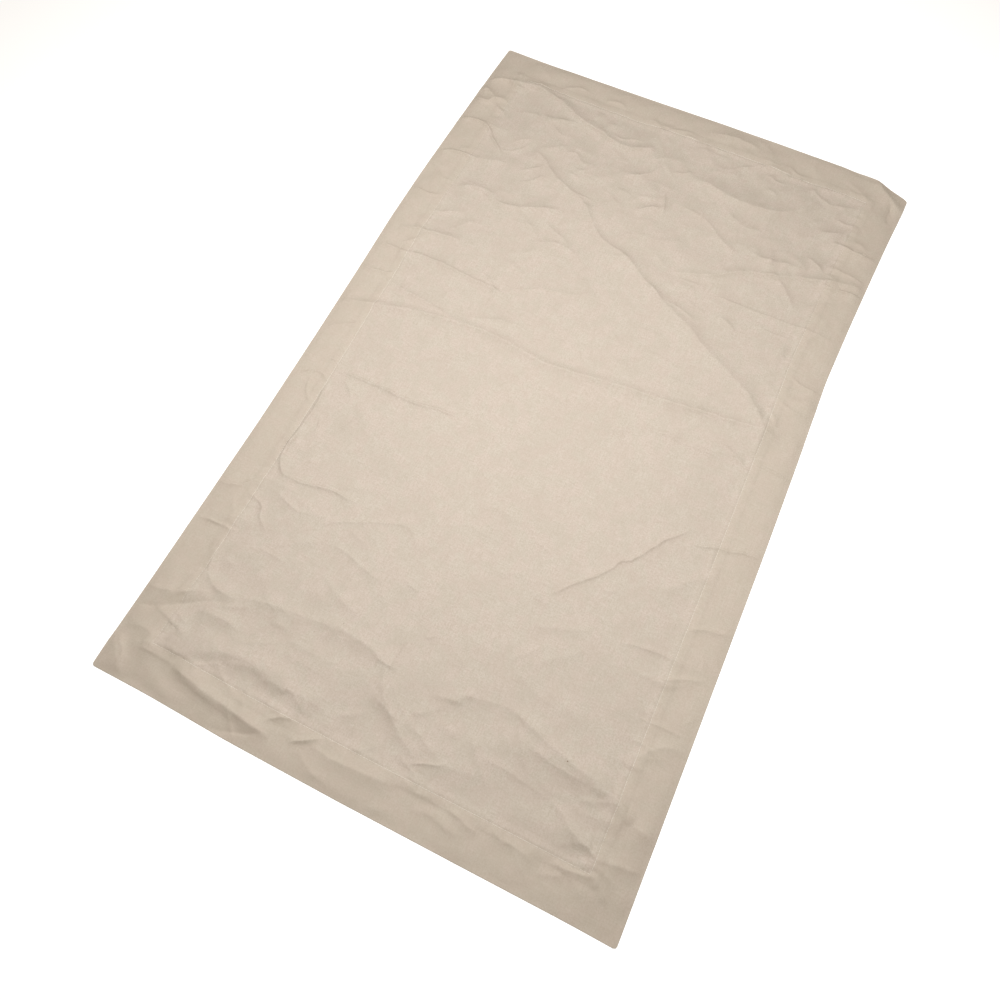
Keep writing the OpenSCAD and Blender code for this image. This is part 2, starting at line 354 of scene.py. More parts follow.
CREASES = (
    # Far end, left
    (1.7, 2, 2.4, (-252, 299), (-232, 301), (-216, 298), (-202, 286), (-190, 276), (-182, 266)),
    (0.5, 1.6, 2, (-186, 273), (-172, 278), (-162, 288), (-155, 300)),
    (0.4, 2, 2.4, (-178, 289), (-168, 298), (-155, 304)),
    (1.6, 2, 2.4, (-253, 244), (-233, 249), (-214, 249), (-192, 247)),
    (1.5, 8, 3, (-224, 376), (-199, 379), (-178, 379), (-163, 375), (-148, 369), (-132, 361), (-117, 355),
     (-94, 350), (-70, 342), (-53, 341), (-38, 346), (-24, 355)),
    (0.5, 1.4, 1.6, (-196, 383), (-184, 385), (-172, 382)),
    (0.5, 3, 1.8, (-78, 352), (-64, 348), (-50, 354), (-38, 355)),
    (1.4, 5, 3, (-248, 367), (-224, 375), (-206, 370), (-194, 377)),
    (1.4, 6, 3, (-250, 336), (-233, 333), (-225, 343), (-209, 345)),
    (1.4, 6, 4, (-252, 352), (-240, 350), (-226, 343)),
    (0.9, 6, 4, (-208, 207), (-190, 211), (-178, 211), (-165, 206), (-150, 202), (-135, 203), (-120, 210),
     (-105, 216), (-84, 225)),
    (0.5, 2, 3, (-152, 254), (-138, 265), (-129, 273)),
    (0.5, 2, 3, (-148, 240), (-135, 246), (-124, 259)),
    (0.5, 1.6, 2, (-86, 251), (-72, 251), (-58, 250)),
    (0.6, 3, 3, (-190, 338), (-172, 340), (-160, 332), (-148, 322)),
    (0.5, 3, 3, (-160, 345), (-150, 335), (-134, 325), (-118, 324)),
    (0.6, 4, 4, (-120, 300), (-104, 306), (-92, 296), (-78, 300)),
    (0.6, 2, 3, (-160, 388), (-152, 396), (-140, 401), (-126, 400)),
    (0.7, 4, 3, (-106, 397), (-90, 399), (-76, 394)),
    (0.5, 1.6, 1.6, (-34, 387), (-20, 387), (-8, 388)),
    (0.9, 2, 2, (-253, 183), (-235, 180), (-216, 183)),
    (0.6, 4, 4, (-98, 169), (-70, 180), (-48, 174), (-33, 165)),
    (0.6, 2, 3, (-248, 222), (-236, 214), (-226, 207), (-212, 209)),

    # Far end, middle and right
    (0.8, 5, 5, (-48, 298), (-30, 305), (-16, 317), (-7, 333)),
    (0.8, 1.8, 2.4, (6, 329), (18, 333), (27, 339)),
    (0.8, 2, 2, (9, 300), (13, 288), (16, 277), (20, 264)),
    (0.5, 4, 3, (-16, 256), (5, 269), (27, 273)),
    (0.5, 4, 3, (27, 290), (56, 283), (71, 277), (94, 259), (117, 249)),
    (0.7, 3, 4, (62, 358), (75, 369), (90, 378), (105, 384), (132, 385)),
    (0.5, 2, 2, (104, 373), (120, 368), (132, 371)),
    (0.5, 2, 1.6, (-2, 386), (8, 385), (17, 386)),
    (0.5, 1.5, 1.5, (32, 383), (45, 381), (56, 383)),
    (1.2, 14, 5, (30, 334), (48, 331), (68, 325), (88, 322), (108, 322), (130, 326), (151, 338),
     (176, 360)),
    (0.8, 6, 5, (22, 403), (40, 406), (68, 407), (90, 403)),
    (0.6, 4, 3, (156, 378), (168, 367), (182, 361), (195, 363), (218, 368)),
    (0.7, 2, 2.4, (190, 346), (205, 343), (220, 344)),
    (1.2, 2.4, 3, (198, 312), (211, 311), (225, 308), (239, 307), (253, 309)),
    (0.6, 2, 2.4, (203, 278), (225, 277), (250, 273)),
    (0.8, 5, 3, (122, 263), (140, 256), (152, 258), (164, 261), (188, 263)),
    (1.8, 2, 2.4, (204, 251), (228, 254), (252, 257)),
    (1.1, 7, 4, (56, 202), (78, 208), (98, 215), (114, 226), (129, 234), (143, 239), (157, 242),
     (174, 248), (191, 253), (208, 258), (228, 264), (250, 268)),
    (0.6, 4, 5, (146, 240), (160, 239), (174, 229), (190, 209)),
    (0.6, 1.8, 2, (103, 192), (130, 191), (160, 190), (185, 190), (210, 190), (238, 190)),
    (0.4, 1.8, 2, (158, 174), (180, 172), (204, 173)),
    (0.6, 4, 4, (118, 167), (132, 164), (144, 157)),
    (0.4, 2, 2.4, (63, 195), (80, 196), (94, 196)),
    (0.5, 3, 2, (60, 161), (75, 160), (90, 156), (102, 149)),
    (0.5, 3, 3, (112, 392), (126, 394), (138, 388), (154, 389)),
    (0.6, 3, 3, (182, 282), (193, 276), (203, 268)),
    (0.3, 4, 4, (80, 306), (88, 298), (99, 292), (112, 289)),

    # The long fold that runs across the field from the far left to the right seam
    (1, 5, 6, (-152, 291), (-133, 282), (-113, 265), (-87, 252), (-68, 244), (-49, 224), (-33, 209),
     (-14, 201), (2, 196), (19, 186), (39, 173), (62, 159)),
    (1.1, 8, 12, (38, 177), (50, 168), (65, 158), (80, 150), (100, 140), (118, 127), (140, 115),
     (160, 105), (178, 95), (192, 82), (202, 68), (206, 50), (209, 30)),
    # The fold across the middle
    (1.5, 6, 7, (-252, 13), (-228, 18), (-205, 24), (-179, 32), (-150, 38), (-120, 42), (-90, 44),
     (-55, 40), (-22, 36), (10, 39), (40, 43), (65, 46), (90, 48), (120, 51), (150, 55), (180, 58),
     (205, 60), (225, 59)),
    (0.8, 3, 4, (-218, 58), (-195, 53), (-170, 50), (-145, 46), (-126, 43)),

    # Middle, left
    (0.6, 3, 3, (-220, 159), (-205, 164), (-195, 170), (-180, 175)),
    (1, 6, 4, (-240, 124), (-222, 130), (-210, 131), (-200, 134), (-185, 135), (-163, 138)),
    (0.7, 2, 2, (-228, 107), (-218, 112), (-211, 122), (-209, 137)),
    (1.1, 2.6, 4.5, (-250, 97), (-225, 97), (-210, 98), (-200, 101), (-185, 101), (-165, 100), (-145, 98),
     (-126, 97), (-100, 95), (-86, 94)),
    (0.4, 1.5, 1.5, (-128, 100), (-127, 112), (-125, 121)),
    (0.7, 3, 3, (-127, 109), (-115, 103), (-103, 91)),
    (0.5, 4, 2.4, (-102, 91), (-90, 103), (-78, 109), (-62, 118), (-45, 122), (-25, 126), (-8, 131)),
    (0.6, 3, 4, (-222, 93), (-205, 84), (-190, 79), (-178, 71)),
    (1.1, 2, 3.2, (-250, 61), (-232, 62), (-220, 64), (-211, 71)),
    (0.5, 3, 2, (-117, 53), (-100, 56), (-85, 61), (-70, 65), (-54, 66)),
    (0.4, 3, 2, (-42, 57), (-28, 64), (-15, 67), (2, 68)),
    (0.5, 1.2, 1.4, (-119, 0), (-108, 0), (-97, 1)),
    (0.5, 2, 3, (-33, 13), (-22, 11), (-10, 6), (2, 4), (14, 3), (28, 6), (42, 8)),
    (0.7, 2.4, 3, (-244, -22), (-224, -11), (-211, -3)),

    # Middle, right
    (0.4, 2.5, 2.5, (46, 117), (62, 119), (77, 119)),
    (0.3, 2.5, 2.5, (66, 95), (85, 95), (100, 92)),
    (0.4, 5, 4, (84, 75), (105, 75), (130, 76), (152, 74)),
    (0.4, 2, 2, (67, -5), (76, -1), (86, 5)),
    (0.6, 4, 3, (83, 16), (105, 14), (125, 15), (145, 14), (165, 15), (187, 14)),
    (0.8, 2.5, 3, (158, 19), (172, 26), (182, 27), (192, 22), (202, 16), (211, 6)),
    (0.9, 1.6, 2, (212, 22), (225, 22), (250, 20)),
    (0.7, 2, 2.4, (213, 132), (222, 126), (235, 124), (250, 122)),
    (0.5, 3, 3, (203, 101), (215, 97), (230, 92), (248, 96)),

    # Near half, left
    (0.5, 1.2, 1.4, (-222, -55), (-213, -56), (-207, -61)),
    (1.2, 1.7, 2, (-208, -65), (-190, -63), (-170, -62), (-150, -62), (-130, -63), (-112, -62), (-95, -59),
     (-68, -57)),
    (0.6, 2, 2, (-194, -72), (-185, -78), (-179, -85)),
    (0.8, 1.5, 1.8, (-242, -86), (-232, -77), (-222, -73), (-215, -76), (-209, -81)),
    (0.5, 2, 2, (-229, -80), (-226, -92), (-222, -100), (-217, -106), (-210, -108)),
    (1, 5, 2, (-209, -82), (-206, -105), (-206, -125), (-207, -145), (-208, -165), (-205, -178),
     (-198, -186), (-189, -188)),
    (1.2, 1.7, 2.2, (-196, -188), (-175, -187), (-160, -184), (-145, -181), (-130, -182), (-113, -182)),
    (0.6, 1.5, 1.7, (-197, -116), (-193, -126), (-190, -140)),
    (0.5, 3, 3, (-169, -122), (-163, -108), (-150, -94)),
    (0.5, 2, 2.4, (-197, -164), (-186, -155), (-180, -141)),
    (1, 2, 4, (-250, -221), (-228, -215), (-218, -205), (-210, -196)),
    (0.8, 1.8, 2.2, (-216, -219), (-205, -220), (-197, -225), (-192, -235), (-181, -244)),
    (0.5, 3, 3, (-194, -205), (-180, -210), (-165, -214), (-148, -212)),
    (0.5, 3, 3, (-142, -218), (-122, -206), (-105, -198), (-88, -190), (-70, -183), (-58, -183),
     (-51, -192)),
    (0.4, 3, 3, (-122, -228), (-100, -230), (-80, -236), (-56, -241)),
    (0.3, 1.4, 1.4, (-140, -145), (-128, -142)),
    (0.3, 1.4, 1.4, (-96, -167), (-86, -163)),
    (0.4, 1.6, 1.6, (-40, -229), (-30, -232), (-22, -235)),

    # Near half, right
    (1, 1.5, 1.6, (86, -184), (95, -172), (104, -162), (116, -150), (126, -138), (132, -126), (142, -119),
     (152, -103), (162, -88), (172, -77), (182, -66)),
    (1, 1.6, 2.2, (180, -80), (195, -79), (206, -75), (218, -73), (232, -69), (250, -66)),
    (0.4, 1.2, 1.4, (203, -63), (206, -80), (209, -97)),
    (0.4, 1.5, 1.6, (50, -140), (62, -144), (74, -149)),
    (0.3, 1.4, 1.4, (128, -159), (142, -154)),
    (0.7, 2, 2.4, (158, -196), (175, -192), (190, -190), (205, -189), (224, -188)),
    (0.9, 2, 3.2, (210, -161), (220, -154), (235, -150), (250, -148)),
    (0.6, 2, 3, (196, -217), (210, -209), (222, -202), (244, -194)),
    (0.5, 1.6, 1.8, (196, -249), (215, -248), (244, -247)),
    (0.6, 5, 7, (203, -284), (212, -278), (220, -270), (230, -262), (249, -258)),

    # Near end, left
    (0.8, 1.6, 1.8, (-248, -259), (-222, -257), (-210, -257), (-202, -256)),
    (0.4, 2, 2.4, (-178, -261), (-160, -262), (-148, -262)),
    (0.8, 4, 5, (-212, -268), (-210, -290), (-201, -306), (-184, -313), (-168, -311)),
    (0.9, 6, 12, (-197, -307), (-175, -312), (-155, -306), (-130, -302), (-105, -299), (-85, -297),
     (-66, -297)),
    (0.6, 1.6, 3, (-15, -268), (-13, -285), (-13, -300), (-11, -308)),
    (-0.5, 3, 2.5, (-252, -356), (-228, -348), (-213, -339), (-191, -326), (-168, -317)),
    (1.5, 5, 11, (-252, -336), (-228, -332), (-213, -325), (-192, -317)),
    (1.6, 6, 9, (-196, -336), (-180, -334), (-165, -333), (-150, -337)),
    (0.6, 2, 2.4, (-152, -345), (-138, -342), (-125, -335), (-111, -327)),
    (1, 8, 8, (-226, -382), (-206, -375), (-186, -368), (-168, -362)),
    (2.6, 11, 7, (-204, -374), (-180, -367), (-160, -360), (-144, -356), (-120, -355), (-100, -359),
     (-84, -366)),
    (1, 10, 10, (-118, -352), (-96, -355), (-76, -363), (-54, -378)),
    (0.6, 2, 3, (-172, -381), (-160, -374), (-148, -367)),
    (1, 10, 9, (-236, -387), (-202, -386), (-172, -390), (-148, -394), (-120, -397), (-98, -400),
     (-77, -402)),
    (1.5, 9, 6, (-186, -388), (-170, -390), (-148, -394), (-120, -397), (-98, -400), (-77, -402)),
    (0.4, 8, 14, (-180, -393), (-155, -397), (-135, -400), (-112, -404)),
    (-0.4, 3, 2, (-138, -421), (-118, -416), (-101, -410), (-84, -403)),
    (0.9, 9, 20, (-256, -384), (-242, -396), (-222, -420)),
    (0.8, 1.8, 2, (-90, -395), (-83, -387), (-73, -382), (-60, -381)),
    (1.5, 1.8, 2.8, (-62, -399), (-50, -391), (-36, -383)),
    (0.9, 6, 8, (-46, -392), (-25, -394), (0, -393), (20, -391), (44, -390)),
    (0.5, 6, 6, (-246, -374), (-228, -370), (-213, -376)),
    (0.5, 3, 4, (-216, -344), (-205, -347), (-195, -353)),
    (0.5, 3, 3, (-247, -384), (-235, -395), (-230, -407)),

    # Near end, right
    (0.9, 7, 9, (-92, -294), (-66, -294), (-40, -297), (-20, -301), (-4, -304)),
    (0.7, 1.8, 2.4, (-30, -302), (-17, -304), (-6, -304)),
    (0.8, 7, 8, (-16, -316), (-10, -325), (3, -337), (21, -351), (46, -364)),
    (0.4, 4, 5, (-13, -305), (-6, -314), (8, -328), (30, -341), (60, -354)),
    (0.9, 1.6, 2, (38, -369), (50, -364), (60, -360), (70, -355)),
    (0.35, 5, 7, (40, -301), (64, -296), (91, -291), (109, -292), (133, -300)),
    (1.2, 7, 10, (106, -292), (133, -300), (152, -305), (181, -311), (203, -316), (220, -323)),
    (1.3, 4, 6, (160, -309), (184, -312), (203, -318), (216, -323), (228, -329)),
    (0.4, 4, 6, (112, -305), (143, -315), (164, -317), (188, -319)),
    (0.9, 8, 14, (205, -322), (226, -330), (254, -336)),
    (0.3, 5, 5, (83, -338), (110, -337), (140, -340), (165, -343)),
    (0.8, 6, 5, (160, -341), (177, -351), (188, -358), (203, -362), (218, -361)),
    (0.6, 12, 9, (175, -340), (192, -340), (206, -338), (222, -336)),
    (0.9, 8, 9, (203, -371), (223, -365), (250, -362)),
    (0.8, 2, 3, (178, -385), (195, -384), (208, -382), (217, -379)),
    (0.7, 2.4, 4, (86, -385), (100, -389), (117, -393)),
    (0.6, 4, 5, (123, -383), (135, -388), (150, -388), (168, -392)),
    (0.4, 1.6, 1.6, (3, -269), (10, -263)),
    (0.3, 2, 2, (38, -267), (42, -272), (46, -279)),

    # Beside the hump of the far right corner
    (-1, 3, 3, (238, 396), (244, 388), (247, 376), (248, 362)),
)

# The far right corner stands up in a hump, and its tip lies further in than the others
CORNER_HUMP = (1.8, 11.0, 14.0, (188, 462), (206, 440), (221, 420), (236, 402), (262, 384))
CORNER_REACH = 115 * MM
CORNER_PULL = 17.5 * MM

# How far each outer edge wanders outwards (+) or inwards (-) at places along it, all in millimetres
EDGE_WANDER = {
    "left": ((-420, 2.0), (-330, 0.3), (-150, -1.6), (-40, -0.8), (60, 0.8), (130, 2.6), (200, 2.4),
             (290, 0.2), (380, -2.8), (420, -5.0)),
    "right": ((-420, 1.2), (-240, 0.6), (-60, 0.0), (40, -1.2), (140, -3.4), (220, -0.6), (290, 2.8),
              (343, 5.6), (378, 8.0), (420, 9.0)),
    "far": ((-250, 1.0), (-200, -0.6), (-60, 0.0), (20, 0.8), (100, 0.6), (180, -0.8), (250, -1.0)),
    "near": ((-250, -1.6), (-190, -1.6), (-110, 0.6), (0, 0.9), (120, 0.0), (210, -0.8), (250, -0.4)),
}


CREST_STEP = 2.2  # millimetres between the points of a crest


def smooth_line(points):
    """Points about CREST_STEP apart on a smooth curve through the given ones."""
    points = np.array(points, float)
    ends = np.vstack([2 * points[0] - points[1], points, 2 * points[-1] - points[-2]])
    out = []
    for a, b, c, d in zip(ends, ends[1:], ends[2:], ends[3:]):
        count = max(1, round(float(np.hypot(*(c - b))) / CREST_STEP))
        t = (np.arange(count) / count)[:, None]
        out.append(0.5 * (2 * b + (c - a) * t + (2 * a - 5 * b + 4 * c - d) * t**2
                          + (3 * b - a - 3 * c + d) * t**3))
    return np.vstack([*out, points[-1:]])


def sideways(line):
    """Unit vectors to the left of a line, at each of its points."""
    along = np.gradient(line, axis=0)
    along /= np.hypot(*along.T)[:, None]
    return np.stack([-along[:, 1], along[:, 0]], axis=1)


def wavy(length, wavelengths, amplitude):
    """A seeded wavy line: one value for each place in length."""
    total = np.zeros_like(length)
    for wavelength in wavelengths:
        total += np.sin(2 * math.pi * length / wavelength + rng.uniform(0, 2 * math.pi))
    return total * amplitude / len(wavelengths)


FIELD_WAVES = 20


def field(p, q, wavelength, stretch=1.0):
    """A seeded random field with about that wavelength, from about -2 to 2. stretch lengthens it along p."""
    total = np.zeros_like(p)
    for _ in range(FIELD_WAVES):
        angle = rng.uniform(0, 2 * math.pi)
        k = 2 * math.pi / (wavelength * rng.uniform(0.7, 1.4))
        phase = rng.uniform(0, 2 * math.pi)
        total += np.cos(k * (p * math.cos(angle) / stretch + q * math.sin(angle)) + phase)
    return total * math.sqrt(2 / FIELD_WAVES)


TAPER = 22 * MM  # a crease fades over this length at each end, or over TAPER_SHARE of a short one
TAPER_SHARE = 0.35
LEAN = 0.15  # how far a crest lies on the near side of its traced line, as a share of its far flank
LEAN_FROM = -60  # only creases beyond this place lean, in millimetres along the runner
CREST_WOBBLE = 0.35 * MM
UNEVEN = 0.25  # how much the rise of a low crease varies along it


def full_rise(strength, far, near):
    """The rise in millimetres that a strength stands for: more where the flanks are wide."""
    return math.copysign(1.7 * abs(strength) ** 0.8, strength) * min(1.35, 0.5 + 0.17 * (far + near) / 2)


class Crease:
    """A pressed fold: its crest line in metres, how high it rises along it, and the width of its flanks."""

    def __init__(self, strength, far, near, *points):
        seen_height = max(strength, 0) * 1.5 * MM + 2 * MM
        line = unlay(as_seen(smooth_line(points) * MM, seen_height))
        self.run = np.concatenate([[0], np.cumsum(np.hypot(*np.diff(line, axis=0).T))])
        taper = min(TAPER_SHARE * self.run[-1], TAPER)
        ends = np.clip(np.minimum(self.run, self.run[-1] - self.run) / taper, 0, 1)
        lean = LEAN * (far if points[0][1] > LEAN_FROM else 0) * MM
        wobble = wavy(self.run, (17 * MM, 31 * MM), CREST_WOBBLE)
        self.line = line + sideways(line) * (wobble - lean)[:, None]
        self.side = sideways(self.line)
        rise = full_rise(strength, far, near)
        uneven = wavy(self.run, (16 * MM, 37 * MM), UNEVEN / (1 + abs(rise) / 2.5))
        self.rise = rise * MM * ends * (1.6 - 0.6 * ends) * (1 + uneven)
        self.far = far * MM
        self.near = near * MM
        self.reach = 4.8 * max(self.far, self.near) + 8 * MM

    def rows(self, offsets):
        """Points beside the crest, at these offsets to each side."""
        return np.vstack([self.line + self.side * offset for offset in offsets])

    def height(self, p, q, nearest):
        """The fold's lift at these places, which are nearest to those points of its line."""
        x, y = p - self.line[nearest, 0], q - self.line[nearest, 1]
        side_x, side_y = self.side[nearest].T
        signed = side_x * x + side_y * y
        half_step = 0.5 * self.run[1]
        run = self.run[nearest] + np.clip(side_y * x - side_x * y, -half_step, half_step)
        flank = np.where(signed > 0, self.far, self.near)
        crest_r = 0.35 * MM + 0.05 * flank
        down = (np.hypot(signed, crest_r) - crest_r) / (1.7 * flank)
        swell = np.exp(-((signed / (2.4 * flank + 4 * MM)) ** 2))
        return np.interp(run, self.run, self.rise) * (np.clip(1 - down, 0, 1) ** 2 + 0.4 * swell)


MINOR_COUNT = 360


def minor_creases():
    """Small seeded creases, closer together towards the ends, as a washed cloth has."""
    made = []
    while len(made) < MINOR_COUNT:
        x, y = rng.uniform(-245, 245), rng.uniform(-415, 415)
        busy = 0.25 + 0.75 * min(1, abs(y + 60) / 300) ** 1.5 + 0.25 * (abs(x) > 190)
        if rng.random() > busy:
            continue
        angle = rng.normal(0, 0.5) + rng.choice((-0.35, 0.35))
        length = rng.uniform(14, 62)
        bend = rng.normal(0, 0.12)
        dx, dy = math.cos(angle) * length / 2, math.sin(angle) * length / 2
        points = ((x - dx, y - dy), (x - dy * bend, y + dx * bend), (x + dx, y + dy))
        in_field = float(ease(edge_distance(x * MM, y * MM) / HEM_INNER))
        strength = rng.uniform(0.12, 0.5) * (0.35 + 0.65 * busy) * (0.3 + 0.7 * in_field)
        far, near = rng.uniform(1.6, 7), rng.uniform(1.6, 7)
        made.append((strength, far, near, *sorted(points)))
    return made


def edge_distance(p, q):
    """How far a place on the flat cloth is from the nearest outer edge."""
    return np.minimum(HALF_W - np.abs(p), HALF_L - np.abs(q))


def ease(x):
    """0 below 0, 1 above 1, and smooth between."""
    x = np.clip(x, 0, 1)
    return x * x * (3 - 2 * x)


EDGE_CALM = 9 * MM  # the folds are lower in this width along the edges, by up to EDGE_LOWER
EDGE_LOWER = 0.55
TALL = 6 * MM  # folds above this are pressed down, and none gets higher than TALL + TALL_EXTRA
TALL_EXTRA = 2.5 * MM
PUCKER_RISE = 0.42 * MM
PUCKER_WIDTH = 5.5 * MM


class Surface:
    """The lift of the wrinkled cloth over the flat one, as a fine grid that every piece reads."""

    STEP = 0.5 * MM
    MARGIN = 4 * MM

    def __init__(self, creases, hump):
        self.p0, self.q0 = -HALF_W - self.MARGIN, -HALF_L - self.MARGIN
        self.p = np.arange(self.p0, HALF_W + self.MARGIN, self.STEP)
        self.q = np.arange(self.q0, HALF_L + self.MARGIN, self.STEP)
        p, q = np.meshgrid(self.p, self.q)
        lift = self.slack(p, q) + self.puckers(p, q)
        for crease in creases:
            self.add(lift, crease)
        lift *= 1 - EDGE_LOWER + EDGE_LOWER * ease(edge_distance(p, q) / EDGE_CALM)
        self.add(lift, hump)
        pressed = TALL + TALL_EXTRA * np.tanh((lift - TALL) / TALL_EXTRA)
        self.lift = np.where(lift < TALL, np.maximum(lift, 0), pressed)

    def slack(self, p, q):
        """The cloth's slow swells and its crumple, in metres. Both are stronger towards the ends."""
        ends = 0.4 + 0.6 * ease((np.abs(q + 60 * MM) - 80 * MM) / (240 * MM))
        swell = 1.2 + 0.45 * field(p, q, 150 * MM) + 0.38 * ends * field(p, q, 62 * MM, stretch=1.6)
        crumple = ends * (0.13 * field(p, q, 24 * MM, stretch=1.5) + 0.03 * field(p, q, 9 * MM, stretch=1.3))
        crumple -= ends * (0.65 * np.abs(field(p, q, 90 * MM, stretch=1.6)) - 0.35)
        crumple -= ends * (0.28 * np.abs(field(p, q, 44 * MM, stretch=1.5)) - 0.15)
        edge = 1 - np.exp(-edge_distance(p, q) / (4.5 * MM))
        return np.maximum(swell, 0.1) * edge * MM + (0.35 * edge + crumple) * MM

    def puckers(self, p, q):
        """The seam draws the cloth up in small ripples across its line."""
        total = np.zeros_like(p)
        for along, from_edge in ((q, HALF_W - np.abs(p)), (p, HALF_L - np.abs(q))):
            inside = ease((edge_distance(p, q) - STITCH_LINE + 12 * MM) / (8 * MM))
            ripple = wavy(along, (7.5 * MM, 11 * MM, 16 * MM, 27 * MM), PUCKER_RISE)
            total += ripple * inside * np.exp(-(((from_edge - STITCH_LINE) / PUCKER_WIDTH) ** 2))
        return total

    def add(self, lift, crease):
        """Lifts the grid by one crease, from its nearest point to each place."""
        low, high = crease.line.min(0) - crease.reach, crease.line.max(0) + crease.reach
        i = slice(*np.searchsorted(self.p, (low[0], high[0])))
        j = slice(*np.searchsorted(self.q, (low[1], high[1])))
        p, q = self.p[i], self.q[j]
        closest = np.full((len(q), len(p)), crease.reach**2)
        nearest = np.full(closest.shape, -1)
        for n, (x, y) in enumerate(crease.line):
            a = slice(*np.searchsorted(p, (x - crease.reach, x + crease.reach)))
            b = slice(*np.searchsorted(q, (y - crease.reach, y + crease.reach)))
            square = (q[b, None] - y) ** 2 + (p[None, a] - x) ** 2
            closer = square < closest[b, a]
            closest[b, a][closer] = square[closer]
            nearest[b, a][closer] = n
        rows, columns = np.nonzero(nearest >= 0)
        lift[j, i][rows, columns] += crease.height(p[columns], q[rows], nearest[rows, columns])

    def at(self, p, q):
        """The lift at these places, read between the grid's points."""
        x = np.clip((p - self.p0) / self.STEP, 0, len(self.p) - 1.001)
        y = np.clip((q - self.q0) / self.STEP, 0, len(self.q) - 1.001)
        i, j = x.astype(int), y.astype(int)
        u, v = x - i, y - j
        a, b = self.lift[j, i], self.lift[j, i + 1]
        c, d = self.lift[j + 1, i], self.lift[j + 1, i + 1]
        return (a * (1 - u) + b * u) * (1 - v) + (c * (1 - u) + d * u) * v


def wander(side, along):
    """How far that edge has moved outwards, in metres, at places along it."""
    knots = np.array(EDGE_WANDER[side], float) * MM
    fine = np.arange(-HALF_L - 60 * MM, HALF_L + 60 * MM, MM)
    weights = np.exp(-np.linspace(-2.5, 2.5, 61) ** 2)
    value = np.interp(fine, knots[:, 0], knots[:, 1])
    value = np.convolve(np.pad(value, 30, mode="edge"), weights / weights.sum(), mode="valid")
    return np.interp(along, fine, value)


def round_corner(p, q):
    """Draws the last CORNER_R of each square corner in to a blunt one."""
    a = np.clip(np.abs(p) - (HALF_W - CORNER_R), 0, None)
    b = np.clip(np.abs(q) - (HALF_L - CORNER_R), 0, None)
    both = (a > 0) & (b > 0)
    r2 = 2 * CORNER_R**2
    p = np.where(both, p - np.sign(p) * a * (1 - np.sqrt(np.clip(1 - b * b / r2, 0, 1))), p)
    q = np.where(both, q - np.sign(q) * b * (1 - np.sqrt(np.clip(1 - a * a / r2, 0, 1))), q)
    return p, q


def slide(p, q):
    """How far the cloth has slid over the table from its flat place."""
    share_x = (p / HALF_W + 1) / 2
    share_y = (q / HALF_L + 1) / 2
    pull = np.clip(1 - np.hypot(HALF_W - p, HALF_L - q) / CORNER_REACH, 0, 1) ** 2.5
    x = share_x * wander("right", q) - (1 - share_x) * wander("left", q)
    y = share_y * wander("far", p) - (1 - share_y) * wander("near", p) - CORNER_PULL * pull
    return x, y


def lay(flat):
    """Carries points of the flat pattern onto the wrinkled cloth."""
    p, q, z = np.array(flat, float).T
    x, y = round_corner(p, q)
    dx, dy = slide(p, q)
    return np.stack([x + dx, y + dy, z + surface.at(p, q)], axis=1)


def as_seen(points, height):
    """Moves places on the table to where the camera sees them at that height."""
    eye = bpy.context.scene.camera.matrix_world.translation
    return points - (points - np.array(eye[:2])) * height / eye.z


def unlay(points):
    """Carries places seen on the laid cloth back to the flat pattern."""
    flat = points.copy()
    for _ in range(3):
        flat = points - np.stack(slide(*flat.T), axis=1)
    return flat


# Meshes

def piece(node, flat, faces, material):
    """An object from a flat mesh: laid on the wrinkles, smooth, and standing for its CAD node."""
    flat = np.array(flat, float)
    name = "laid_" + node
    mesh = bpy.data.meshes.new(name)
    mesh.from_pydata(lay(flat).tolist(), [], [tuple(f) for f in faces])
    corners = np.zeros(len(mesh.loops), int)
    mesh.loops.foreach_get("vertex_index", corners)
    mesh.uv_layers.new(name="pattern").data.foreach_set("uv", flat[corners, :2].astype(np.float32).ravel())
    mesh.shade_smooth()
    mesh.set_sharp_from_angle(angle=math.radians(55))
    mesh.materials.append(material)
    mesh.validate()
    made = bpy.data.objects.new(name, mesh)
    bpy.context.collection.objects.link(made)
    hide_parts(node)
    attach(made, "root")
    return made


def triangulate(points):
    """Triangles over a set of points in the plane, each turned upwards."""
    made = delaunay_2d_cdt([Vector(p) for p in points.tolist()], [], [], 0, 1e-9, False)
    place = np.array([tuple(v) for v in made[0]])
    faces = np.array(made[2])
    a, b, c = (place[faces[:, i]] for i in range(3))
    area = (b[:, 0] - a[:, 0]) * (c[:, 1] - a[:, 1]) - (b[:, 1] - a[:, 1]) * (c[:, 0] - a[:, 0])
    faces = faces[np.abs(area) > 1e-14]
    area = area[np.abs(area) > 1e-14]
    faces[area < 0] = faces[area < 0][:, ::-1]
    return place, faces


def thin_out(points, spacing):
    """Drops points that come closer than about spacing to an earlier one."""
    kept, taken = [], {}
    cell = np.floor(points / spacing).astype(int)
    for index, (i, j) in enumerate(cell.tolist()):
        near = (taken.get((i + a, j + b)) for a in (-1, 0, 1) for b in (-1, 0, 1))
        x, y = points[index]
        if all(k is None or (points[k][0] - x) ** 2 + (points[k][1] - y) ** 2 >= spacing**2 for k in near):
            taken[i, j] = index
            kept.append(index)
    return points[kept]


def stations(half, spacing):
    """How many places there are along a side, so that pieces that meet there share them."""
    return round(2 * half / spacing) + 1


def frame_rows(distances, spacing):
    """Points along rectangles at these distances from the outer edge."""
    rows = []
    for d in distances:
        w, l = HALF_W - d, HALF_L - d
        p = np.linspace(-w, w, stations(HALF_W, spacing))
        q = np.linspace(-l, l, stations(HALF_L, spacing))
        rows += [np.stack([p, np.full_like(p, s * l)], 1) for s in (-1, 1)]
        rows += [np.stack([np.full_like(q, s * w), q], 1) for s in (-1, 1)]
    return np.vstack(rows)


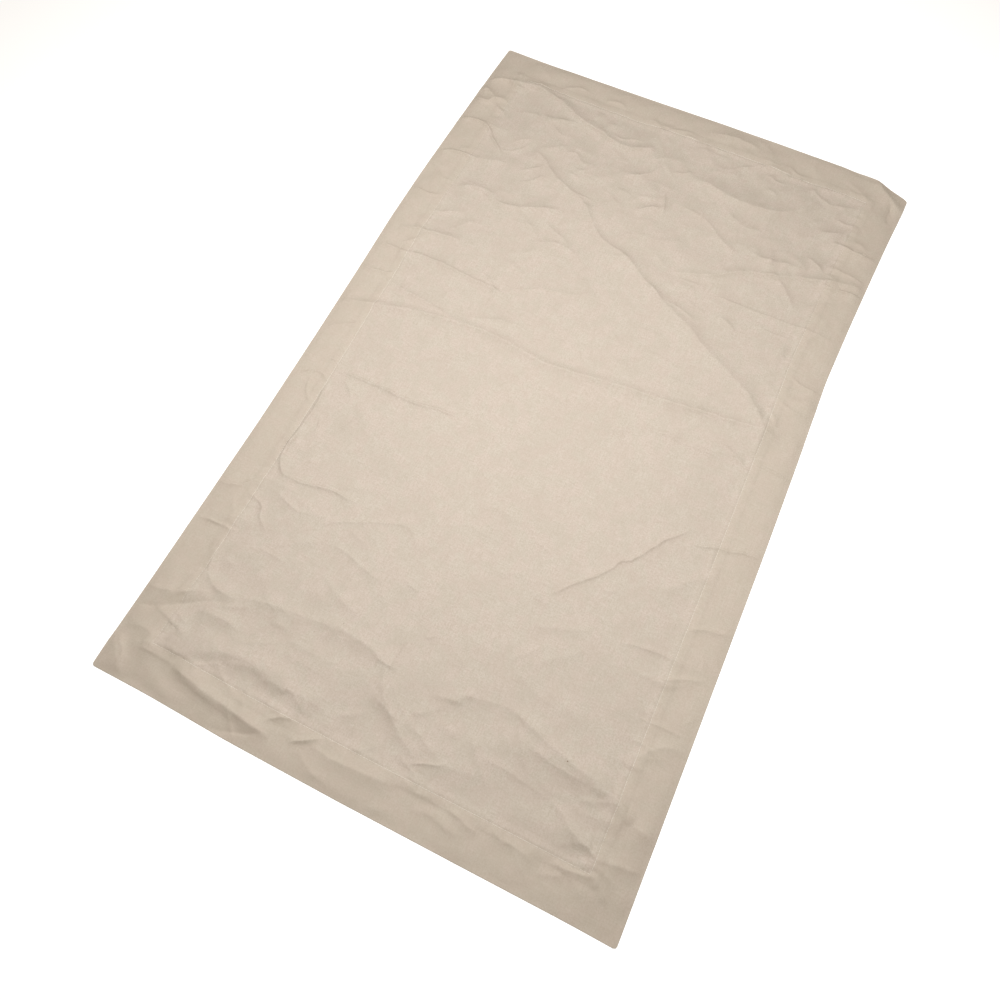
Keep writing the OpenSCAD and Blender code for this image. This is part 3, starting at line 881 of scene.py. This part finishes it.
def lattice(spacing):
    """A staggered grid of points over the whole face."""
    rows = []
    for n, q in enumerate(np.arange(-HALF_L + FOLD_R, HALF_L - FOLD_R, spacing * 0.87)):
        p = np.arange(-HALF_W + FOLD_R + (n % 2) * spacing / 2, HALF_W - FOLD_R, spacing)
        rows.append(np.stack([p, np.full_like(p, q)], 1))
    return np.vstack(rows)


GROOVE_DEPTH = 0.3 * MM  # the needle thread's groove in the face
GROOVE_WIDTH = 0.9 * MM


def face_top(p, q):
    """Height of the face over the table when it is flat: two layers, then three, then down to one."""
    d = edge_distance(p, q)
    outer = 2 * FOLD_R
    over_turn_in = 3 * CLOTH + 0.1 * MM
    height = outer + (over_turn_in - outer) * ease((d - TURN_EDGE + 1.5 * MM) / (3 * MM))
    height = height + (CLOTH - over_turn_in) * ease((d - HEM_INNER + 0.5 * MM) / STEP_WIDTH)
    in_corner = np.maximum(HALF_W - np.abs(p), HALF_L - np.abs(q)) < STITCH_LINE
    groove = GROOVE_DEPTH * np.exp(-(((d - STITCH_LINE) / GROOVE_WIDTH) ** 2))
    return height - np.where(in_corner, 0, groove)


def inner_face(points):
    """Those of the points that lie inside the rim of the face."""
    d = edge_distance(points[:, 0], points[:, 1])
    return points[d > FOLD_R + 0.2 * MM]


# Where the meshes of the face have their points, in millimetres: beside the crests, and along the hem
CREST_ROWS = (0, -0.7, 0.7, -1.5, 1.5, -2.8, 2.8)
SMALL_CREST_ROWS = (0, -1.5, 1.5)
UNDER_CREST_ROWS = (0, -3, 3)
SEAM_ROWS = (0, -0.8, 0.8, -2.2, 2.2)
INNER_FOLD_ROWS = (0.8, 2.5, 4.5)
OUTER_FOLD_ROWS = (1.2, 3.0, 5.5)
TURN_EDGE_ROWS = (-1.5, 0, 1.5)
SEAM_SPACING = 1.6 * MM
HEM_SPACING = 2.4 * MM
FACE_SPACING = 4.6 * MM
UNDER_SPACING = 7 * MM
TOP_GAP = 0.6 * MM  # two points of the upper mesh are never closer than this
UNDER_GAP = 2.3 * MM


def beside(place, offsets):
    """Distances around a place, from offsets in millimetres."""
    return [place + offset * MM for offset in offsets]


def face_points(rim, creases, small):
    """The points of the face's upper mesh, from which too close ones are dropped, the last first."""
    rows = [rim]
    rows += [inner_face(crease.rows(beside(0, CREST_ROWS))) for crease in creases]
    rows += [inner_face(crease.rows(beside(0, SMALL_CREST_ROWS))) for crease in small]
    hem = beside(HEM_INNER, INNER_FOLD_ROWS) + beside(FOLD_R, OUTER_FOLD_ROWS)
    hem += beside(TURN_EDGE, TURN_EDGE_ROWS)
    rows += [frame_rows(beside(STITCH_LINE, SEAM_ROWS), SEAM_SPACING), frame_rows(hem, HEM_SPACING)]
    rows.append(inner_face(lattice(FACE_SPACING)))
    return thin_out(np.vstack(rows), TOP_GAP)


def face_under_points(rim, creases):
    """The points of the face's lower mesh, which is more open."""
    rows = [rim, inner_face(lattice(UNDER_SPACING))]
    rows += [inner_face(crease.rows(beside(0, UNDER_CREST_ROWS))[::3]) for crease in creases]
    return thin_out(np.vstack(rows), UNDER_GAP)


def make_face_cloth(creases, small):
    """The top layer: a closed sheet with an upper and a lower mesh, joined round the rim."""
    rim = frame_rows((FOLD_R,), RIM_STEP)
    top_points, top_faces = triangulate(face_points(rim, creases, small))
    low_points, low_faces = triangulate(face_under_points(rim, creases))
    top_z = face_top(*top_points.T)
    low_z = face_top(*low_points.T) - CLOTH
    count = len(top_points)
    flat = np.vstack([np.column_stack([top_points, top_z]), np.column_stack([low_points, low_z])])
    faces = [*top_faces.tolist(), *(low_faces[:, ::-1] + count).tolist()]
    faces += rim_walls(top_points, low_points, count)
    return piece("face_cloth", flat, faces, linen_material("linen_face", 1))


def rim_walls(top_points, low_points, count):
    """Quads that join the rims of the upper and the lower mesh."""
    def around(points, first):
        d = edge_distance(points[:, 0], points[:, 1])
        index = np.flatnonzero(d < FOLD_R + 1e-6)
        angle = np.arctan2(points[index, 1] / HALF_L, points[index, 0] / HALF_W)
        return index[np.argsort(angle)] + first
    upper, lower = around(top_points, 0), around(low_points, count)
    assert len(upper) == len(lower)
    after_lower, after_upper = np.roll(lower, -1), np.roll(upper, -1)
    return np.stack([lower, after_lower, after_upper, upper], axis=1).tolist()


def on_side(side, a, d):
    """Pattern coordinates of a place a along a side, anticlockwise, and d in from its outer edge."""
    return {
        "near": (a, -HALF_L + d),
        "right": (HALF_W - d, a),
        "far": (-a, HALF_L - d),
        "left": (-HALF_W + d, -a),
    }[side]


def half_side(side):
    """Half the length of a side."""
    return HALF_W if side in ("near", "far") else HALF_L


def tube_faces(rings, sides, first=0):
    """The faces of a tube that is closed at both ends, over rings of points that start at index first."""
    faces = []
    for a in range(first, first + (rings - 1) * sides, sides):
        for j in range(sides):
            k = (j + 1) % sides
            faces.append((a + j, a + k, a + sides + k, a + sides + j))
    faces.append(tuple(first + j for j in reversed(range(sides))))
    faces.append(tuple(first + (rings - 1) * sides + j for j in range(sides)))
    return faces


def swept(side, profile):
    """A closed outline of (d, z), run along a side with its ends mitred: flat points and faces."""
    profile = np.array(profile, float)
    half = half_side(side)
    shares = np.linspace(-1, 1, stations(half, RIM_STEP))
    rings = []
    for s in shares:
        d, z = profile.T
        p, q = on_side(side, s * (half - d), d)
        rings.append(np.column_stack([np.broadcast_to(p, d.shape), np.broadcast_to(q, d.shape), z]))
    return np.vstack(rings), tube_faces(len(shares), len(profile))


def arc(centre_d, centre_z, radius, start, end, count):
    """Points of (d, z) on an arc, from one angle to another in degrees."""
    angle = np.radians(np.linspace(start, end, count))
    return np.column_stack([centre_d + radius * np.cos(angle), centre_z + radius * np.sin(angle)])


def make_hem_layer(side):
    """The layer folded under: round the outer fold and back under the face to the inner fold."""
    inner = FOLD_R - CLOTH
    ends = np.linspace(FOLD_R, HEM_INNER - CLOTH, 14)[1:]
    groove = 0.12 * MM * np.exp(-(((ends - STITCH_LINE) / (1.5 * MM)) ** 2))
    profile = np.vstack([
        arc(FOLD_R, FOLD_R, FOLD_R, 90, 270, 9),
        np.column_stack([ends, groove]),
        np.column_stack([ends[::-1], np.full(len(ends), CLOTH)]),
        arc(FOLD_R, FOLD_R, inner, 270, 90, 7),
    ])
    flat, faces = swept(side, profile)
    return piece("hem_layer_" + side, flat, faces, under_linen)


def make_turn_in(side):
    """The raw edge folded in over the hem layer, and the round inner fold that it comes from."""
    back = np.linspace(TURN_EDGE, HEM_INNER - CLOTH, 5)
    profile = np.vstack([
        np.column_stack([back, np.full(len(back), CLOTH)]),
        arc(HEM_INNER - CLOTH, CLOTH, CLOTH * 0.96, -88, 88, 7),
        np.column_stack([back[::-1], np.full(len(back), 1.96 * CLOTH)]),
    ])
    flat, faces = swept(side, profile)
    return piece("turn_in_" + side, flat, faces, under_linen)


def at_corner(corner, a, b):
    """Pattern coordinates of a place a in from the left or right edge and b in from the near or far one."""
    x = -HALF_W + a if corner.endswith("left") else HALF_W - a
    y = -HALF_L + b if corner.startswith("near") else HALF_L - b
    return x, y


def make_allowance(corner):
    """The two seam allowances of a mitre, pressed open to either side of its seam."""
    slit, width = 0.25 * MM, ALLOWANCE_W * math.sqrt(2)
    flat, faces = [], []
    for swap in (False, True):
        quad = np.array([(FOLD_R * 2 + slit, FOLD_R * 2), (FOLD_R * 2 + width, FOLD_R * 2),
                         (TURN_EDGE, TURN_EDGE - width), (TURN_EDGE, TURN_EDGE - slit)])
        block, quads = plate(quad[:, ::-1] if swap else quad, 1.04 * CLOTH, 1.9 * CLOTH, 10, 3)
        faces += [tuple(v + len(flat) for v in f) for f in quads]
        flat += [(*at_corner(corner, a, b), z) for a, b, z in block]
    return piece("mitre_allowance_" + corner, flat, faces, under_linen)


def plate(quad, low, high, along, across):
    """A four-sided plate as a closed block of small faces."""
    u, v = np.meshgrid(np.linspace(0, 1, along + 1), np.linspace(0, 1, across + 1), indexing="ij")
    u, v = u.ravel()[:, None], v.ravel()[:, None]
    place = (quad[0] * (1 - u) + quad[3] * u) * (1 - v) + (quad[1] * (1 - u) + quad[2] * u) * v
    count, wide = len(place), across + 1
    block = [(a, b, z) for z in (low, high) for a, b in place.tolist()]
    faces = []
    for i in range(along):
        for j in range(across):
            k = i * wide + j
            faces.append((k, k + wide, k + wide + 1, k + 1))
            faces.append((k + count, k + 1 + count, k + wide + 1 + count, k + wide + count))
    edge = [i * wide for i in range(along + 1)]
    edge += [along * wide + j for j in range(1, wide)]
    edge += [i * wide + across for i in range(along - 1, -1, -1)]
    edge += list(range(across - 1, 0, -1))
    for a, b in zip(edge, edge[1:] + edge[:1]):
        faces.append((a, a + count, b + count, b))
    return block, faces


def sinking(place, along):
    """How much deeper a stitch of a seam along the cloth lies at the far end and the near left, in mm."""
    if abs(along[1]) <= 0.5:
        return 0
    far_end = float(ease((place[1] - 100 * MM) / (110 * MM)))
    near_left = float(ease(-(place[1] + 270 * MM) / (60 * MM))) * (place[0] < 0)
    return 0.24 * far_end + 0.2 * near_left


def stitch_row(start, end, height, up):
    """Separate stitches from start to end. Each rises out of the cloth, runs flat and dives back into it."""
    start, end = np.array(start, float), np.array(end, float)
    total = float(np.hypot(*(end - start)))
    along = (end - start) / total
    side = np.array([-along[1], along[0]])
    count = int(total / STITCH_PITCH)
    rings, sides = 7, 6
    share = np.linspace(0, 1, rings)
    bow = np.sin(math.pi * share) ** 0.25
    angle = np.linspace(0, 2 * math.pi, sides, endpoint=False)
    flat, faces = [], []
    for n in range(count):
        middle = total / 2 + (n - (count - 1) / 2) * STITCH_PITCH
        tilt = rng.normal(0, STITCH_TILT)
        for s, b in zip(share, bow):
            radius = THREAD_R * (0.75 + 0.25 * b)
            reach = middle + (s - 0.5) * (STITCH_PITCH - STITCH_GAP)
            centre = start + along * reach + side * tilt * (s - 0.5) * 2
            level = height + up * (0.3 * b - 0.18 - sinking(centre, along)) * MM
            for t in angle:
                place = centre + side * radius * math.cos(t)
                flat.append((place[0], place[1], level + up * radius * math.sin(t)))
        faces += tube_faces(rings, sides, n * rings * sides)
    if up < 0:
        faces = [tuple(reversed(f)) for f in faces]
    return flat, faces


def make_thread(name, start, end, height, up):
    """One thread of a seam, seen from above (up = 1) or from below (up = -1)."""
    flat, faces = stitch_row(start, end, height, up)
    return piece(name, flat, faces, thread)


def make_hem_threads(side):
    """The upper and the lower thread of the hem's seam on one side."""
    reach = half_side(side) - STITCH_LINE
    start, end = on_side(side, -reach, STITCH_LINE), on_side(side, reach, STITCH_LINE)
    top = float(face_top(np.array([0.0]), np.array([STITCH_LINE - HALF_L]))[0])
    return [make_thread("needle_thread_" + side, start, end, top, 1),
            make_thread("bobbin_thread_" + side, start, end, BOBBIN_LEVEL, -1)]


def make_mitre_thread(corner):
    """The seam inside a mitre."""
    start = at_corner(corner, 3 * FOLD_R, 3 * FOLD_R)
    end = at_corner(corner, TURN_EDGE - FOLD_R, TURN_EDGE - FOLD_R)
    return make_thread("mitre_thread_" + corner, start, end, 1.4 * CLOTH, 1)


make_camera()
make_lights()
make_floor()

main_creases = [Crease(*c) for c in (*CREASES, CORNER_HUMP)]
small_creases = [Crease(*c) for c in minor_creases()]
surface = Surface(main_creases[:-1] + small_creases, main_creases[-1])
under_linen = linen_material("linen_under", 2)
thread = thread_material()

face = make_face_cloth(main_creases, small_creases)
hems = [make_hem_layer(side) for side in SIDES]
turns = [make_turn_in(side) for side in SIDES]
allowances = [make_allowance(corner) for corner in CORNERS]
threads = [t for side in SIDES for t in make_hem_threads(side)]
threads += [make_mitre_thread(corner) for corner in CORNERS]
